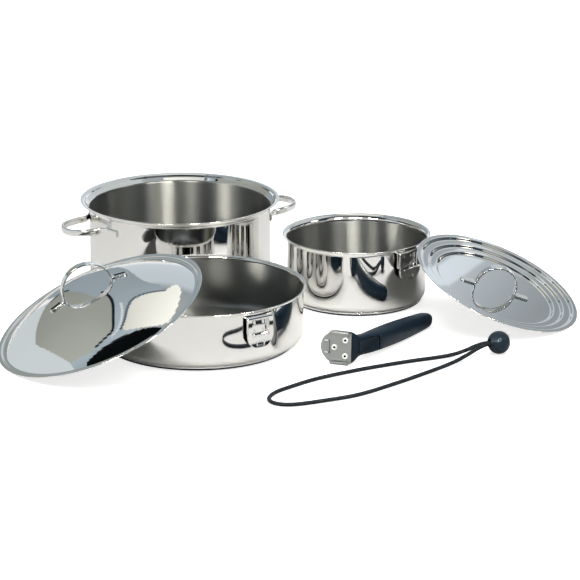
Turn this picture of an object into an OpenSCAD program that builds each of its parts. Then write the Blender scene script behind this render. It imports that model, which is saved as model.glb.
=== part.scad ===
// Camping cook pot set: stock pot, saute pan, saucepan, two lids, one detachable handle and a ball bungee.
// The pieces stand on the floor as laid out for use. Origin: centre of the stock pot's base. +Y points back.

/* [Sheet and bases] */
// Thickness of the vessels' and lids' steel sheet
sheet_t = 1; // [0.8:0.1:1.4]
// Thickness of the heat-spreading disc in each base
core_t = 4; // [3:0.5:6]
// Thickness of the steel cap over that disc
cap_t = 0.8; // [0.6:0.1:1.2]
// Rounding of the cap's lower edge
cap_round = 3; // [2:0.5:3.5]
// Open seam between the cap's edge and the vessel
seam = 0.4; // [0.2:0.1:0.8]

/* [Stock pot] */
// Outer diameter of the stock pot's wall
stock_d = 241; // [200:1:290]
// Height to the top of its rim
stock_h = 112; // [90:1:160]
// Rounding between its floor and wall
stock_corner = 10; // [6:1:16]
// How far the base cap stays inside the wall
stock_cap_inset = 8.5; // [6:0.5:14]
// Width of the sloping lid seat in the rim
stock_seat_w = 6.5; // [4:0.5:10]
// Width of the flat lip outside that seat
stock_lip_w = 5; // [3:0.5:8]
// Height of the whole stepped rim
stock_rim_h = 9; // [7:0.5:14]
// Turn of the pot's two side handles from the X axis
stock_turn = 22; // [0:1:30]

/* [Side handles] */
// How far a side handle stands out from the wall
loop_reach = 41; // [32:1:50]
// Distance between the middles of a side handle's two arms
loop_w = 62; // [54:1:80]
// Height of the strap
loop_strap_h = 9; // [7:0.5:12]
// Thickness of the strap
loop_strap_t = 4.6; // [3.5:0.1:6]
// Thickness of the flattened ends
loop_foot_t = 2.4; // [1.8:0.1:3]
// Length of each flattened end
loop_foot_l = 22; // [14:1:26]
// Depth of the handle's middle below the top of the rim
loop_drop = 25; // [20:1:40]
// Slope of the left handle outward
left_pitch = -4; // [-8:1:8]
// Slope of the right handle outward
right_pitch = 5; // [-8:1:8]

/* [Saute pan] */
// Outer diameter of the saute pan's wall
saute_d = 260; // [220:1:300]
// Height to the top of its rim
saute_h = 74; // [60:1:100]
// Rounding between its floor and wall
saute_corner = 12; // [8:1:18]
// How far the base cap stays inside the wall
saute_cap_inset = 11; // [8:0.5:16]
// Width of the flared lip
saute_lip = 3.2; // [2.4:0.2:6]
// Direction of the pan from the stock pot
saute_bearing = -83; // [-95:1:-75]
// Clear floor between the two rims
saute_clear = 9.5; // [6:0.5:30]
// Direction of its handle bracket
saute_bracket_turn = -55; // [-65:1:-50]

/* [Saucepan] */
// Outer diameter of the saucepan's wall
sauce_d = 181; // [150:1:210]
// Height to the top of its rim
sauce_h = 88; // [70:1:110]
// Rounding between its floor and wall
sauce_corner = 8; // [6:1:12]
// How far the base cap stays inside the wall
sauce_cap_inset = 4.5; // [3:0.5:8]
// Width of the flared lip
sauce_lip = 7; // [4:0.5:9]
// Direction of the saucepan from the stock pot
sauce_bearing = -20.3; // [-28:0.1:-12]
// Clear floor between the two rims
sauce_clear = 19.5; // [14:0.5:40]
// Direction of its handle bracket
sauce_bracket_turn = -45.5; // [-60:0.5:-40]

/* [Handle brackets] */
// Width of a bracket's face plate
bracket_w = 38; // [34:0.5:42]
// Height of the face plate
bracket_h = 40; // [36:1:46]
// Thickness of the bracket's steel
bracket_t = 1.5; // [1.2:0.1:1.8]
// Distance from the pan's wall to the back of the face plate
bracket_stand = 4.6; // [4:0.1:6]
// Corner rounding at the lower end of the face plate
bracket_round = 16; // [10:1:17]
// Width of the dish that is pressed back to the wall
dish_w = 23; // [16:1:26]
// Height of that dish
dish_h = 25; // [18:1:27]
// Distance from the bracket's top edge to the dish
dish_drop = 3; // [2.4:0.2:5]
// Width of the catch dent under the dish
catch_w = 12; // [8:1:16]
// Height of the catch dent
catch_h = 6; // [3:0.5:6]
// Depth of the catch dent
catch_deep = 0.8; // [0.5:0.1:1]

/* [Dome lid] */
// Diameter of the dome lid
lid_d = 269; // [240:1:300]
// Width of its flat outer lip
lid_lip = 4.5; // [3:0.5:7]
// Width of the locating groove inside the lip
lid_groove_w = 5; // [3:0.5:7]
// Depth of that groove
lid_groove_d = 2; // [1:0.2:3]
// Height of the dome above the lip
lid_rise = 38; // [28:1:42]
// Lean of the lid from flat
lid_tilt = 23; // [16:0.5:28]
// Direction in which its foot lies from the saute pan
lid_bearing = 205.5; // [195:0.5:215]
// Turn of its strap handle
lid_strap_turn = -8; // [-45:1:45]

/* [Universal lid] */
// Diameter of the universal lid
uni_d = 222; // [215:1:240]
// Width of its flat outer lip
uni_lip = 7; // [5:0.5:10]
// Drop of each of the steps towards the middle
uni_step_h = 3.5; // [2.5:0.1:4.5]
// Width of each step
uni_step_w = 12; // [9:0.5:14]
// Rounding of the steps
uni_step_r = 1.6; // [1.5:0.1:1.7]
// How far the lid's edge reaches past the rim that it leans on
uni_overhang = 2; // [1.5:0.5:5]
// Direction in which its foot lies from the saucepan
uni_bearing = -25; // [-35:1:-15]
// Turn of its strap handle
uni_strap_turn = 31; // [0:1:60]

/* [Lid handles] */
// Length of the dome lid's strap handle over both feet
lid_strap_l = 106; // [96:1:116]
// Opening between its arch's legs
lid_strap_span = 61; // [50:1:66]
// Height of the opening under its arch
lid_strap_rise = 33; // [26:1:40]
// Length of the universal lid's strap handle over both feet
uni_strap_l = 95; // [88:1:106]
// Opening between its arch's legs
uni_strap_span = 51; // [44:1:58]
// Height of the opening under its arch
uni_strap_rise = 31; // [24:1:38]
// Width of the strap
strap_w = 10; // [8:0.5:14]
// Thickness of the strap
strap_t = 2; // [1.5:0.1:3]
// Bend between foot and arch
strap_bend = 4; // [3:0.5:5]

/* [Detachable handle] */
// Width of the head plate over its channel flanges
head_w = 42; // [40:0.5:48]
// Length of the head plate from its straight edge to its round tip
head_l = 39; // [37:0.5:44]
// Thickness of the head plate
head_t = 1.5; // [1.2:0.1:1.8]
// Thickness of the channels' return lips
return_t = 1.3; // [1:0.1:1.6]
// How far the grip's root reaches down behind the head plate
root_drop = 30; // [28:1:32]
// Length of the grip from the head plate to its end
grip_l = 184; // [150:1:200]
// Width of the grip
grip_w = 26.6; // [23:0.2:30]
// Width of the neck under the thumb slide
neck_w = 25.2; // [22:0.2:28]
// Depth of the grip
grip_depth = 26; // [23:0.5:29]
// Rise of the grip outward from the head plate
grip_rise = 12; // [6:0.5:18]
// Slope of the thumb ramp
thumb_ramp = 26; // [22:0.5:30]
// Distance from the head plate to the grip's shoulder at the ramp's end
ramp_out = 46; // [42:1:54]
// Direction in which the head plate's straight edge points on the floor
handle_turn = -20.5; // [-40:0.5:0]
// Direction of the handle from the saute pan
handle_bearing = -27; // [-32:0.5:-24]
// Clear floor from the saute pan's rim to the handle's straight edge
handle_clear = 77.5; // [70:0.5:110]

/* [Lock slide] */
// Length of the thumb slide
slide_l = 34; // [28:1:34]
// Width of the thumb slide
slide_w = 16.5; // [13:0.5:17]
// Height of the thumb slide
slide_h = 6.2; // [5.6:0.1:6.6]
// Start of the thumb slide along the ramp
slide_start = 13; // [12:0.5:14]
// How far the thumb slide travels
slide_travel = 3.5; // [2:0.1:3.5]
// Thickness of the latch bar
bar_t = 1.5; // [1.2:0.1:1.8]
// Width of the latch bar
bar_w = 12; // [10.5:0.5:13]
// Outer diameter of the return spring
spring_d = 4.6; // [4:0.1:5]
// Wire of the return spring
spring_wire = 0.6; // [0.5:0.05:0.7]
// Length of the return spring
spring_l = 9.4; // [8:0.1:9.6]
// Number of turns in the return spring
spring_turns = 4.5; // [3.5:0.5:5]

/* [Rivets] */
// Diameter of a rivet's shank
rivet_d = 4; // [3:0.1:4.4]
// Diameter of a rivet's flat head
rivet_head_d = 7.4; // [6:0.1:7.8]
// Thickness of that head
rivet_head_t = 1.2; // [0.8:0.1:1.5]
// How deep the rivets reach into the grip
rivet_l = 8; // [7:0.5:8.5]
// Diameter of the hollow in the head
rivet_hollow_d = 2.4; // [1.6:0.1:2.8]
// Distance between the two upper rivets
rivet_span = 20; // [18.5:0.5:22]
// Distance from the straight edge to the upper rivets
rivet_up = 7.3; // [6.5:0.1:8]
// Distance from the straight edge to the lower rivet
rivet_low = 21.3; // [20:0.1:22]

/* [Ball bungee] */
// Diameter of the elastic cord
cord_d = 5; // [4:0.1:5.2]
// Diameter of the ball
ball_d = 28.5; // [26:0.5:32]
// Diameter of the ball's through hole
ball_hole_d = 11.4; // [11:0.1:12]
// Depth of the pocket for the knot
knot_pocket = 7; // [6:0.5:8]
// Diameter of the knot
knot_d = 15; // [13:0.5:16]

/* [Hidden] */
$fn = 96;

// Colours
steel = "silver";
satin = "gainsboro";
black = [0.12, 0.14, 0.17];

// Clearances
bond = 0.05;        // welded and bonded faces
rest_gap = 0.4;     // pieces of the set that lean on each other
slip = 0.4;         // sliding pieces in the grip
running = 0.1;      // rivets in their holes

// Vessels
floor_z = cap_t + core_t;
stock_r = stock_d / 2;
saute_r = saute_d / 2;
sauce_r = sauce_d / 2;
stock_rim_r = stock_r + stock_seat_w + stock_lip_w;
saute_rim_r = saute_r + saute_lip;
sauce_rim_r = sauce_r + sauce_lip;
saute_pos = (stock_rim_r + saute_rim_r + saute_clear) * [cos(saute_bearing), sin(saute_bearing)];
sauce_pos = (stock_rim_r + sauce_rim_r + sauce_clear) * [cos(sauce_bearing), sin(sauce_bearing)];
loop_z = stock_h - loop_drop;
saute_bracket_z = saute_h - saute_lip - sheet_t - 2;
sauce_bracket_z = sauce_h - sheet_t - 3.5;

// Points of an arc about a centre, from one angle to another
function arc(c, r, from, to, steps) =
    [for (i = [0:steps]) let (a = from + (to - from) * i / steps) c + r * [cos(a), sin(a)]];
function reversed(p) = [for (i = [len(p) - 1:-1:0]) p[i]];
function unit(v) = v / norm(v);
function left_of(v) = [-v[1], v[0]];

// A path moved to its left by a distance, with mitred corners. A start on the axis stays on it
function offset_path(p, d) = [for (i = [0:len(p) - 1])
    let (last = len(p) - 1,
         a = unit(p[max(i, 1)] - p[max(i, 1) - 1]),
         b = unit(p[min(i, last - 1) + 1] - p[min(i, last - 1)]),
         m = unit(left_of(a) + left_of(b)))
    p[i][0] == 0 ? p[i] + [0, d] : p[i] + m * d / (m * left_of(a))];
function sheet_section(p, t) = concat(p, reversed(offset_path(p, t)));

// A smooth curve through points, with so many steps between each two
function curve_at(a, b, c, d, t) = 0.5 * (2 * b + (c - a) * t
    + (2 * a - 5 * b + 4 * c - d) * t * t + (3 * b - a - 3 * c + d) * t * t * t);
function smooth_curve(p, steps) = let (last = len(p) - 1) concat(
    [for (i = [0:last - 1]) for (k = [0:steps - 1])
        curve_at(p[max(i - 1, 0)], p[i], p[i + 1], p[min(i + 2, last)], k / steps)],
    [p[last]]);

// Triangles that close a stack of rings, each with so many points
function ring_faces(rings, n) = concat(
    [for (i = [0:rings - 2]) for (k = [0:n - 1]) let (j = (k + 1) % n, a = i * n, b = a + n)
        each [[a + k, b + k, b + j], [a + k, b + j, a + j]]],
    [for (k = [1:n - 2]) [0, k, k + 1]],
    [for (k = [1:n - 2]) let (e = (rings - 1) * n) [e, e + k + 1, e + k]]);

// A solid swept along a path: one outline per point, across and up
module sweep(path, outlines, up) {
    last = len(path) - 1;
    rings = [for (i = [0:last])
        let (t = unit(path[min(i + 1, last)] - path[max(i - 1, 0)]),
             side = unit(cross(up, t)),
             rise = cross(t, side))
        each [for (q = outlines[i]) path[i] + side * q[0] + rise * q[1]]];
    polyhedron(rings, ring_faces(last + 1, len(outlines[0])));
}
function rounded_oval(w, h, power, n) = [for (k = [0:n - 1]) let (a = 360 * (k + 0.5) / n)
    [w / 2 * sign(cos(a)) * pow(abs(cos(a)), 2 / power),
     h / 2 * sign(sin(a)) * pow(abs(sin(a)), 2 / power)]];

// Vessels: pressed shell, bonded disc and steel cap
corner_steps = 10;
lip_steps = 6;
function body_path(r, corner) = concat([[0, floor_z]],
    arc([r - corner, floor_z + corner], corner, -90, 0, corner_steps));
function flared_lip(r, h, lip) = arc([r + lip, h - sheet_t - lip], lip, 180, 100, lip_steps);
function stepped_rim(r, h) =
    let (top = h - sheet_t, seat = r + stock_seat_w, rise = stock_rim_h - sheet_t)
    [[r, top - rise], [r + 0.6, top - rise + 1.2], [seat - 1, top - rise * 0.45],
     [seat, top - rise * 0.36], [seat + 0.6, top - rise * 0.16], [seat + 1.5, top - rise * 0.06],
     [r + stock_seat_w + stock_lip_w, top]];
function cap_path(r) = concat([[0, 0]],
    arc([r - cap_round, cap_round], cap_round, -90, 0, corner_steps), [[r, floor_z - seam]]);

module shell(path) rotate_extrude() polygon(sheet_section(path, sheet_t));
module base_cap(r) rotate_extrude() polygon(sheet_section(cap_path(r), cap_t));
module core_disc(r) {
    edge = offset_path(cap_path(r), cap_t + bond);
    rim = edge[len(edge) - 1];
    rotate_extrude() polygon(concat(edge, [[rim[0], floor_z - bond], [0, floor_z - bond]]));
}

module stock_pot_shell() color(steel)
    shell(concat(body_path(stock_r, stock_corner), stepped_rim(stock_r, stock_h)));
module stock_pot_core_disc() color(satin) core_disc(stock_r - stock_cap_inset);
module stock_pot_base_cap() color(steel) base_cap(stock_r - stock_cap_inset);

// Side handle: a round-edged strap bent to a loop, its ends flattened on the pot's wall
loop_sides = 12;
loop_steps = 5;
module side_handle(pitch) {
    foot_r = stock_r + bond + loop_foot_t / 2;
    foot_start = asin((loop_w / 2 + loop_strap_t) / foot_r);
    foot_end = foot_start + loop_foot_l / foot_r * 180 / PI;
    half = loop_w / 2;
    knee = stock_r + loop_reach * 0.42;
    arm = [[stock_r + loop_reach, 0], [stock_r + loop_reach * 0.97, half * 0.34],
        [stock_r + loop_reach * 0.84, half * 0.66], [stock_r + loop_reach * 0.6, half * 0.88],
        [knee - loop_reach * 0.15, half],
        [foot_r * cos(foot_start) + loop_strap_t * 1.3, half + loop_strap_t * 0.25]];
    foot = [for (a = [foot_start + 3, (foot_start + foot_end) / 2 + 2, foot_end]) foot_r * [cos(a), sin(a)]];
    side = concat(arm, foot);
    flat = concat([for (p = reversed(side)) [p[0], -p[1]]], [for (i = [1:len(side) - 1]) side[i]]);
    bent = smooth_curve(flat, loop_steps);
    foot_rings = 2 * loop_steps;
    last = len(bent) - 1;
    thick = [for (i = [0:last])
        let (u = min(1, max(0, min(i, last - i) / foot_rings - 1)), f = u * u * (3 - 2 * u))
        loop_foot_t + (loop_strap_t - loop_foot_t) * f];
    path = [for (i = [0:last])
        let (p = bent[i] * max(1, (stock_r + bond + thick[i] / 2) / norm(bent[i])))
        [p[0], p[1], loop_z + max(0, p[0] - stock_r) * tan(pitch)]];
    outlines = [for (t = thick) rounded_oval(t, loop_strap_h, 3, loop_sides)];
    sweep(path, outlines, [0, 0, 1]);
}
module stock_pot_handle_left() color(steel) rotate(180 + stock_turn) side_handle(left_pitch);
module stock_pot_handle_right() color(steel) rotate(stock_turn) side_handle(right_pitch);

// Handle bracket: folded face plate, a welded dish and the dent that the handle's tab snaps into
function plate_outline(w, h, r) = concat([[w / 2, 0], [-w / 2, 0]],
    arc([r - w / 2, r - h], r, 180, 270, corner_steps), arc([w / 2 - r, r - h], r, 270, 360, corner_steps));
module facing_out(t) rotate([90, 0, 90]) linear_extrude(t) children();
module vessel_room(r, h, lip) rotate_extrude($fn = 180) polygon(concat([[0, 0], [r + bond, 0]],
    arc([r + lip, h - sheet_t - lip], lip - bond, 180, 100, lip_steps), [[0, h]]));
module bracket(r, h, lip, top) {
    back = r + bracket_stand;
    front = back + bracket_t;
    bend = 2.5 * bracket_t;
    fold = concat([[r - bracket_stand, -bracket_t]],
        arc([front - bend, -bend], bend - bracket_t, 90, 0, corner_steps), [[back, -bracket_h]]);
    dish_z = -dish_drop - bracket_t - dish_h;
    catch_up = 3;
    wall = bracket_t;
    difference() {
        union() {
            intersection() {
                translate([0, bracket_w / 2, 0]) rotate([90, 0, 0])
                    linear_extrude(bracket_w) polygon(sheet_section(fold, bracket_t));
                facing_out(front + bend) polygon(plate_outline(bracket_w, bracket_h, bracket_round));
            }
            translate([r - bracket_stand, -dish_w / 2 - wall, dish_z - wall])
                cube([front - r + bracket_stand, dish_w + 2 * wall, dish_h + 2 * wall]);
        }
        translate([r + bracket_t, -dish_w / 2, dish_z]) cube([front, dish_w, dish_h]);
        translate([front - catch_deep, -catch_w / 2, -bracket_h + catch_up])
            cube([bracket_t, catch_w, catch_h]);
        translate([0, 0, -top]) vessel_room(r, h, lip);
    }
}

module at_saute() translate([saute_pos[0], saute_pos[1], 0]) children();
module saute_pan_shell() color(steel) at_saute()
    shell(concat(body_path(saute_r, saute_corner), flared_lip(saute_r, saute_h, saute_lip)));
module saute_pan_core_disc() color(satin) at_saute() core_disc(saute_r - saute_cap_inset);
module saute_pan_base_cap() color(steel) at_saute() base_cap(saute_r - saute_cap_inset);
module saute_pan_bracket() color(steel) at_saute()
    rotate(saute_bracket_turn) translate([0, 0, saute_bracket_z])
        bracket(saute_r, saute_h, saute_lip, saute_bracket_z);

module at_sauce() translate([sauce_pos[0], sauce_pos[1], 0]) children();
module saucepan_shell() color(steel) at_sauce()
    shell(concat(body_path(sauce_r, sauce_corner), flared_lip(sauce_r, sauce_h, sauce_lip)));
module saucepan_core_disc() color(satin) at_sauce() core_disc(sauce_r - sauce_cap_inset);
module saucepan_base_cap() color(steel) at_sauce() base_cap(sauce_r - sauce_cap_inset);
module saucepan_bracket() color(steel) at_sauce()
    rotate(sauce_bracket_turn) translate([0, 0, sauce_bracket_z])
        bracket(sauce_r, sauce_h, sauce_lip, sauce_bracket_z);

// Strap handle of the lids. Its feet slope down outward to lie on a crowned lid
arch_steps = 24;
module strap_handle(l, span, rise, slope) {
    half = span / 2;
    foot_mid = (l / 2 + half + strap_bend) / 2;
    end_z = -tan(slope) * (l / 2 - foot_mid);
    bend_z = tan(slope) * (foot_mid - half - strap_bend);
    left = concat([[-l / 2, end_z]],
        arc([-half - strap_bend, bend_z + strap_bend], strap_bend, -90, 0, 4));
    arch = [for (i = [1:arch_steps - 1]) let (a = 180 * i / arch_steps)
        [-half * cos(a), bend_z + strap_bend + (rise - strap_bend) * sin(a)]];
    right = [for (p = reversed(left)) [-p[0], p[1]]];
    intersection() {
        translate([0, strap_w / 2, 0]) rotate([90, 0, 0])
            linear_extrude(strap_w) polygon(sheet_section(concat(left, arch, right), strap_t));
        translate([0, 0, -rise]) linear_extrude(3 * rise) {
            square([l - strap_w, strap_w], center = true);
            for (s = [-1, 1]) translate([s * (l - strap_w) / 2, 0]) circle(d = strap_w, $fn = 48);
        }
    }
}

// Dome lid: flat lip, locating groove and a crowned middle. Its lip's top lies at height 0
dome_steps = 20;
lid_r = lid_d / 2;
dome_r = lid_r - lid_lip - lid_groove_w;
dome_rise = lid_rise + lid_groove_d;
dome_curve = (dome_r * dome_r + dome_rise * dome_rise) / (2 * dome_rise);
dome_half = asin(dome_r / dome_curve);
groove_in = lid_r - lid_lip;
lid_path = concat(
    arc([0, lid_rise - dome_curve], dome_curve, 90, 90 - dome_half, dome_steps),
    [[dome_r + lid_groove_w * 0.2, -lid_groove_d], [groove_in - lid_groove_w * 0.3, -lid_groove_d],
     [groove_in - lid_groove_w * 0.1, -lid_groove_d * 0.8],
     [groove_in + lid_groove_w * 0.1, -lid_groove_d * 0.1],
     [groove_in + lid_groove_w * 0.3, 0], [lid_r, 0]]);
lid_under = offset_path(lid_path, -sheet_t);

// The lid's foot stands on the floor. It comes up to the pan until its underside meets the rim
function lid_height(r) = lookup(r, lid_under);
function lid_gap(foot) = min([for (a = [0:1:80])
    let (along = foot - saute_rim_r * cos(a), across = saute_rim_r * sin(a),
         up = saute_h - sheet_t * cos(lid_tilt),
         p = along * cos(lid_tilt) + up * sin(lid_tilt) - lid_r,
         q = up * cos(lid_tilt) - along * sin(lid_tilt), r = norm([p, across]))
    r < lid_r ? lid_height(r) - q : lid_r]);
function lean_out(near, far, tries) = let (mid = (near + far) / 2)
    tries == 0 ? far
    : lid_gap(mid) < rest_gap ? lean_out(mid, far, tries - 1)
    : lean_out(near, mid, tries - 1);
lid_foot = lean_out(saute_rim_r, saute_rim_r + lid_d * cos(lid_tilt), 24);
strap_foot_r = (lid_strap_l / 2 + lid_strap_span / 2 + strap_bend) / 2;
dome_slope = asin(strap_foot_r / dome_curve);
dome_foot_z = lid_rise - dome_curve * (1 - cos(dome_slope));

module leaning(pos, bearing, tilt, foot, r) {
    out = foot - r * cos(tilt);
    up = r * sin(tilt) + sheet_t * cos(tilt);
    translate([pos[0] + out * cos(bearing), pos[1] + out * sin(bearing), up])
        rotate([0, tilt, bearing]) children();
}
module at_lid() leaning(saute_pos, lid_bearing, lid_tilt, lid_foot, lid_r) children();
module lid_disc() color(steel) at_lid() rotate_extrude() polygon(sheet_section(lid_path, -sheet_t));
module lid_handle() color(steel) at_lid()
    rotate(lid_strap_turn) translate([0, 0, dome_foot_z + bond])
        strap_handle(lid_strap_l, lid_strap_span, lid_strap_rise, dome_slope);

// Universal lid: a flat lip and three steps down to a flat middle
uni_r = uni_d / 2;
uni_steps = 3;
fillet_steps = 4;
uni_floor = -uni_steps * uni_step_h;
uni_wall_slope = 80;
uni_wall_run = (uni_step_h - 2 * uni_step_r * (1 - cos(uni_wall_slope))) / tan(uni_wall_slope);
uni_wall_half = uni_step_r * sin(uni_wall_slope) + uni_wall_run / 2;
function step_up(r, low) = concat(
    arc([r - uni_wall_half, low + uni_step_r], uni_step_r, -90, uni_wall_slope - 90, fillet_steps),
    arc([r + uni_wall_half, low + uni_step_h - uni_step_r], uni_step_r, 90 + uni_wall_slope, 90,
        fillet_steps));
uni_path = concat([[0, uni_floor]],
    [for (i = [uni_steps:-1:1]) each step_up(uni_r - uni_lip - (i - 1) * uni_step_w, -i * uni_step_h)],
    [[uni_r, 0]]);
uni_lean = asin((sauce_h + rest_gap) / (uni_d - uni_overhang));
uni_foot = sauce_rim_r + (uni_d - uni_overhang) * cos(uni_lean);
module at_universal() leaning(sauce_pos, uni_bearing, uni_lean, uni_foot, uni_r) children();
module universal_lid_disc() color(steel) at_universal()
    rotate_extrude() polygon(sheet_section(uni_path, -sheet_t));
module universal_lid_handle() color(steel) at_universal()
    rotate(uni_strap_turn) translate([0, 0, uni_floor + bond])
        strap_handle(uni_strap_l, uni_strap_span, uni_strap_rise, 0);

// Detachable handle, drawn as it hangs on a pan: X across, Y outward, Z up, origin on the straight edge
head_half = head_w / 2;
web_half = head_half - head_t - 0.5;
tip_r = web_half + 1;
tip_z = tip_r - head_l;
flange_low = tip_z - 6.5;
flange_high = -3;
return_in = 3.8;
return_gap = bracket_t + 0.7;
flange_out = head_t + return_gap + return_t;
tab_w = 14;
tab_l = 6.5;
lance = 1;
tab_z = -head_l + 4.5;
key_hole_d = 1.6;
key_hole_in = 3.5;
ramp_top = ramp_out * tan(thumb_ramp);
shoulder = 0.94;

// Stations along the grip: distance out, top, bottom, half width, squareness
neck_stations = [
    [0, 0, -root_drop, head_half - 0.5, 7],
    [6, 6 * tan(thumb_ramp), 1.5 - root_drop, head_half - 1.2, 6],
    [11, 11 * tan(thumb_ramp), -root_drop * 0.72, (head_half + neck_w / 2) / 2, 4.5],
    [18, 18 * tan(thumb_ramp), -root_drop * 0.38, neck_w / 2 + 0.6, 3.6],
    [30, 30 * tan(thumb_ramp), -root_drop * 0.12, neck_w / 2, 3.2]];
grip_shares = [[0, shoulder, 0.98], [0.16, 1, 1], [0.36, 1, 1], [0.6, 0.93, 0.93], [0.8, 0.82, 0.83],
    [0.92, 0.72, 0.74], [0.975, 0.54, 0.57], [1, 0.24, 0.27]];
grip_stations = concat(neck_stations, [for (s = grip_shares)
    let (y = ramp_out + s[0] * (grip_l - ramp_out),
         mid = ramp_top - grip_depth * shoulder / 2 + (y - ramp_out) * tan(grip_rise))
    [y, mid + grip_depth * s[1] / 2, mid - grip_depth * s[1] / 2, grip_w / 2 * s[2], 2.6]]);
grip_sides = 28;
grip_steps = 3;
grip_rings = smooth_curve(grip_stations, grip_steps);

// Lying on its side, the handle rests on a channel flange and on the end of the grip
handle_tilt = atan(min([for (s = grip_rings) if (s[0] > ramp_out) (head_half - s[3]) / s[0]]));
handle_pos = saute_pos + (saute_rim_r + handle_clear) * [cos(handle_bearing), sin(handle_bearing)];
module at_handle() translate([handle_pos[0], handle_pos[1], head_half * cos(handle_tilt)])
    rotate(handle_turn) rotate([-handle_tilt, 0, 0]) rotate([0, 90, 0]) children();
module on_ramp() rotate([thumb_ramp, 0, 0]) children();

// Pocket, latch channel and spring bore inside the grip
slide_low = 0.6 - slide_h;
slide_end = slide_start + slide_l;
pocket_end = slide_end + slide_travel + slip;
bar_low = slide_low - bar_t;
bar_out = 1;
bar_reach = tab_z - 1;
bar_top = -6.2;
boss_d = rivet_d + 1.5;
root_pocket = bar_out + bar_t + slide_travel + slip;
spring_low = slide_low + 0.6;
spring_bore_d = spring_d + 0.6;
rivet_places = [[-rivet_span / 2, -rivet_up], [rivet_span / 2, -rivet_up], [0, -rivet_low]];

module along_out(x, z, from) translate([x, from, z]) rotate([-90, 0, 0]) children();
module handle_grip() color(black) at_handle() {
    difference() {
        polyhedron([for (s = grip_rings) each [for (q = rounded_oval(2 * s[3], s[1] - s[2], s[4], grip_sides))
            [-q[0], s[0], (s[1] + s[2]) / 2 + q[1]]]], ring_faces(len(grip_rings), grip_sides));
        on_ramp() {
            translate([-slide_w / 2 - slip, slide_start - slip, slide_low - slip])
                cube([slide_w + 2 * slip, pocket_end - slide_start + slip, grip_depth]);
            translate([-bar_w / 2 - slip, -bar_t - slip, bar_low - slip])
                cube([bar_w + 2 * slip, pocket_end + bar_t + slip, bar_t + 2 * slip]);
            along_out(0, spring_low, pocket_end - 1)
                cylinder(d = spring_bore_d, h = slide_end + spring_l + bond - pocket_end + 1);
        }
        difference() {
            translate([-bar_w / 2 - slip, -1, -2 * root_drop])
                cube([bar_w + 2 * slip, root_pocket + 1, 2 * root_drop + bar_top + slide_travel]);
            along_out(0, -rivet_low, 0) cylinder(d = boss_d, h = root_pocket + 1);
        }
        for (p = rivet_places)
            along_out(p[0], p[1], -1) cylinder(d = rivet_d + 2 * running, h = rivet_l + 1 + running);
    }
}

module head_outline() intersection() {
    translate([-web_half, -head_l]) square([2 * web_half, head_l]);
    union() {
        translate([0, tip_z]) circle(tip_r);
        translate([-tip_r, tip_z]) square([2 * tip_r, -tip_z]);
    }
}
module lanced_tab() difference() {
    translate([-tab_w / 2 - lance, tab_z]) square([tab_w + 2 * lance, tab_l + lance]);
    translate([-tab_w / 2, tab_z - lance]) square([tab_w, tab_l + lance]);
}
bend_r = 1.8;
flange_section = sheet_section(concat([[web_half - 1, 0]],
    arc([head_half - bend_r, -bend_r], bend_r, 90, 0, corner_steps),
    arc([head_half - bend_r, bend_r - flange_out], bend_r, 0, -90, corner_steps),
    [[head_half - return_in, -flange_out]]), -return_t);
module handle_head_plate() color(satin) at_handle() {
    difference() {
        rotate([90, 0, 0]) linear_extrude(head_t) difference() {
            head_outline();
            lanced_tab();
            translate([-web_half + key_hole_in, -key_hole_in]) circle(d = key_hole_d, $fn = 24);
        }
        for (p = rivet_places)
            along_out(p[0], p[1], -2 * head_t) cylinder(d = rivet_d + 2 * running, h = 3 * head_t);
    }
    for (s = [0, 1]) mirror([s, 0, 0]) translate([0, 0, flange_low])
        linear_extrude(flange_high - flange_low) polygon(flange_section);
}

module rivet() rotate_extrude() polygon([[0, rivet_head_t * 1.8], [rivet_hollow_d / 2, rivet_head_t * 1.8],
    [rivet_hollow_d / 2, 0.3], [rivet_hollow_d / 2 + 0.3, 0], [rivet_head_d / 2 - 0.5, 0],
    [rivet_head_d / 2, 0.5], [rivet_head_d / 2, rivet_head_t], [rivet_d / 2, rivet_head_t],
    [rivet_d / 2, rivet_head_t + head_t + rivet_l], [0, rivet_head_t + head_t + rivet_l]]);
module handle_rivets() color(satin) at_handle()
    for (p = rivet_places) along_out(p[0], p[1], -head_t - rivet_head_t) rivet();

// Thumb slide with a shallow bare panel, and the folded latch bar that it moves
function round_rect(w, l, r) = concat(
    arc([w / 2 - r, r], r, -90, 0, 6), arc([w / 2 - r, l - r], r, 0, 90, 6),
    arc([r - w / 2, l - r], r, 90, 180, 6), arc([r - w / 2, r], r, 180, 270, 6));
slide_round = 2;
panel_in = 2;
panel_deep = 0.5;
module thumb_slide() color(black) at_handle() on_ramp() difference() {
    translate([0, slide_start, slide_low])
        linear_extrude(slide_h) polygon(round_rect(slide_w, slide_l, slide_round));
    translate([0, slide_start + panel_in, slide_low + slide_h - panel_deep]) linear_extrude(slide_h)
        polygon(round_rect(slide_w - 2 * panel_in, slide_l - 2 * panel_in, slide_round / 2));
}
module latch_bar() color(satin) at_handle() difference() {
    translate([-bar_w / 2, 0, 0]) facing_out(bar_w) {
        rotate(thumb_ramp) translate([-bar_t, bar_low]) square([slide_end + bar_t, bar_t]);
        translate([bar_out, bar_reach]) square([bar_t, bar_top - bar_reach]);
    }
    translate([-boss_d / 2 - slip, -bar_t, -rivet_low - boss_d / 2 - slip - slide_travel])
        cube([boss_d + 2 * slip, 3 * root_pocket, boss_d + slide_travel + 2 * slip]);
}

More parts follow.
